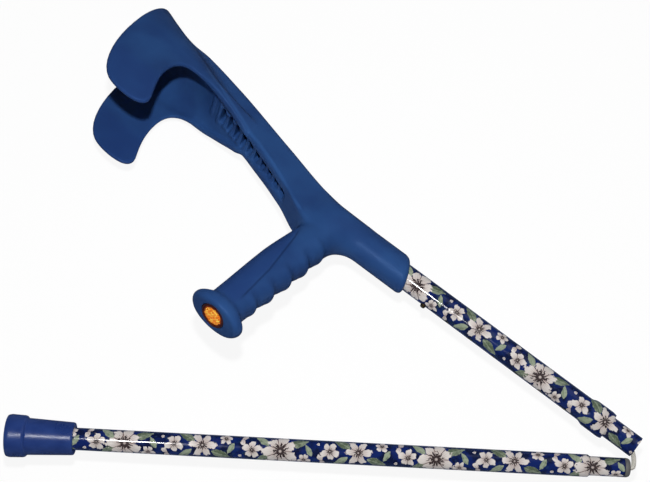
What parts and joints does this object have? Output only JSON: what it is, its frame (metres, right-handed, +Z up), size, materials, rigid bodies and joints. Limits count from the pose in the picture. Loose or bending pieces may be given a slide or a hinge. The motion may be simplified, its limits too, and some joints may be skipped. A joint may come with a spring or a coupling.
{
  "type": "folding forearm crutch",
  "caption": "Forearm crutch with a moulded cuff and grip, push-button height adjustment and a shaft that comes apart on a shock cord and folds back on itself.",
  "frame": {"origin": "bottom centre of the bounding box with the crutch lying on its side, partly folded", "axes": "+X up the shaft towards the cuff, +Y the side the leg folds to, +Z up off the floor"},
  "size_m": [0.5878, 0.4076, 0.1371],
  "materials": {
    "handle_plastic": "satin injection-moulded polypropylene, deep blue",
    "reflector_housing": "dark red-brown rim",
    "reflector_lens": "amber prismatic reflector",
    "printed_tube": "gloss film on aluminium, navy with pale flowers and leaves",
    "bush_plastic": "dark acetal",
    "button_brass": "polished, dulled by use",
    "spring_steel": "plain steel",
    "crimp_aluminium": "plain",
    "shock_cord": "braided sleeve over a rubber core, off-white",
    "nose_plastic": "grey moulded plug",
    "ferrule_rubber": "blue rubber with a soft bloom"
  },
  "bodies": {
    "handle_assembly": {"handle_body": "handle_plastic", "reflector_cup": "reflector_housing", "reflector_lens": "reflector_lens", "upper_tube": "printed_tube", "anti_rattle_bush": "bush_plastic"},
    "height_tube": {"inner_tube": "printed_tube", "snap_spring": "spring_steel", "upper_cord_plug": "bush_plastic", "upper_cord_crimp": "crimp_aluminium", "shock_cord_upper": "shock_cord"},
    "button": {"snap_button": "button_brass"},
    "cord_link": {"shock_cord_lower": "shock_cord"},
    "leg": {"lower_cord_plug": "bush_plastic", "lower_cord_crimp": "crimp_aluminium", "leg_tube": "printed_tube", "spigot_plug": "nose_plastic", "ferrule": "ferrule_rubber", "ferrule_washer": "spring_steel"}
  },
  "joints": [
    {"name": "height_adjust", "type": "slide", "parent": "handle_assembly", "child": "height_tube", "axis": [-1, 0, 0], "range_m": [0, 0.15]},
    {"name": "button_press", "type": "slide", "parent": "height_tube", "child": "button", "axis": [0, -1, 0], "range_m": [0, 0.0039], "deforming": ["snap_spring"]},
    {"name": "fold", "type": "hinge", "parent": "height_tube", "child": "cord_link", "pos_m": [-0.2851, -0.12253, 0.05574], "axis": [0, 0, 1], "range_deg": [-22, 145]},
    {"name": "leg_insert", "type": "slide", "parent": "cord_link", "child": "leg", "axis": [-0.8192, -0.5736, 0], "range_m": [0, 0.0346]}
  ]
}
